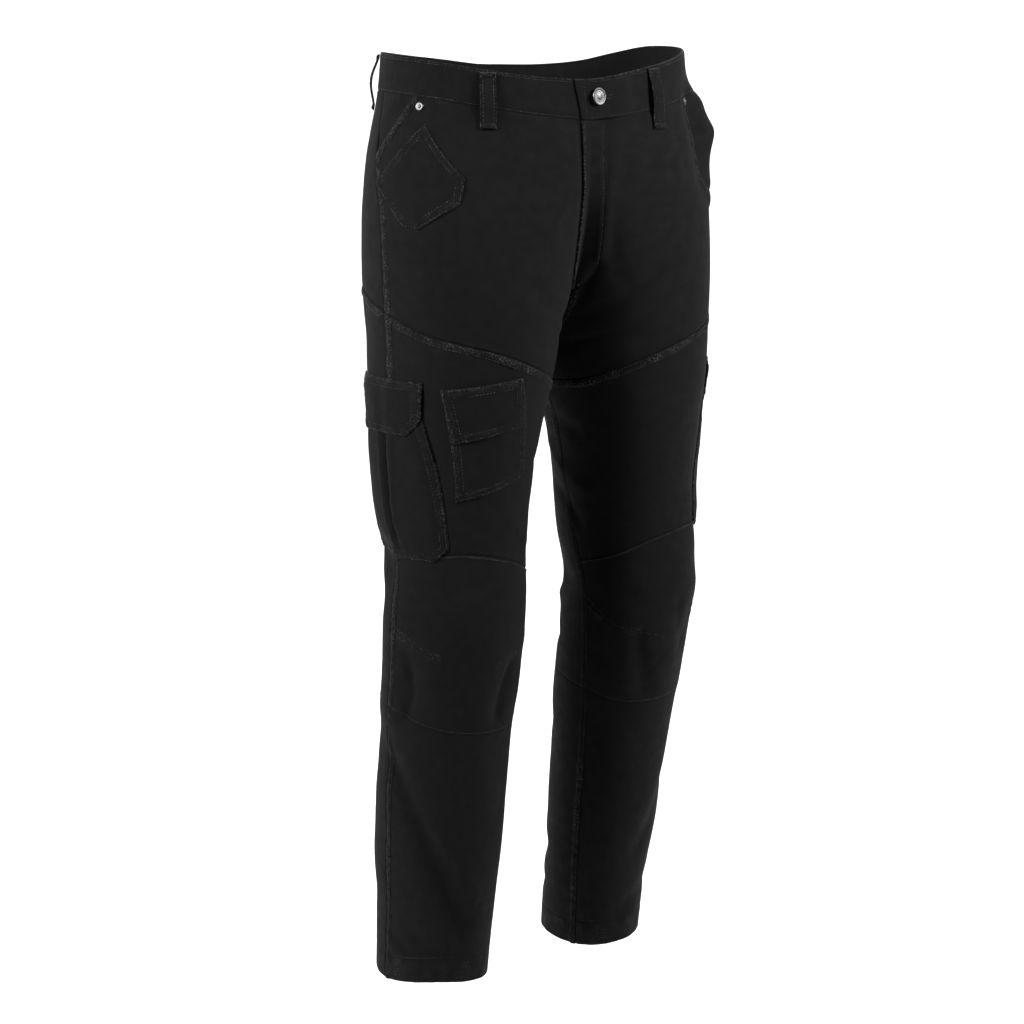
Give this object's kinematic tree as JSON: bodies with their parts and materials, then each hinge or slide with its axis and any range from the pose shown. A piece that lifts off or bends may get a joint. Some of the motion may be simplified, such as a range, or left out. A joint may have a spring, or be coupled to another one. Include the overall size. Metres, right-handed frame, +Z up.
{
  "type": "motorcycle trousers",
  "caption": "Black cotton twill cargo-style riding trousers, hollow and upright as worn, with shaped knees, slanted hip pockets, a coin pocket, cargo pockets and a button waistband.",
  "frame": {"origin": "the middle of the waist opening, 22 mm below the waistband's top edge at the hip sides", "axes": "+Z up along the body, -Y the wearer's front, -X the wearer's right leg"},
  "size_m": [0.4345, 0.251, 1.101],
  "materials": {
    "twill": "matte black cotton twill with tonal topstitching",
    "metal": "dark nickel, softly polished on its raised parts"
  },
  "bodies": {
    "root": {"back_upper_L": "twill", "back_upper_R": "twill", "belt_loop_back": "twill", "belt_loop_front_L": "twill", "belt_loop_front_R": "twill", "belt_loop_side_L": "twill", "belt_loop_side_R": "twill", "calf_back_L": "twill", "calf_back_R": "twill", "cargo_flap_L": "twill", "cargo_flap_R": "twill", "cargo_pocket_L": "twill", "cargo_pocket_R": "twill", "coin_pocket_R": "twill", "fly_placket": "twill", "front_upper_L": "twill", "front_upper_R": "twill", "knee_L": "twill", "knee_R": "twill", "pocket_facing_L": "twill", "pocket_facing_R": "twill", "shin_front_L": "twill", "shin_front_R": "twill", "thigh_back_L": "twill", "thigh_back_R": "twill", "thigh_flap_R": "twill", "thigh_front_L": "twill", "thigh_front_R": "twill", "thigh_pocket_R": "twill", "waistband": "twill", "button": "metal", "rivet_R": "metal", "rivet_L": "metal"}
  },
  "joints": []
}
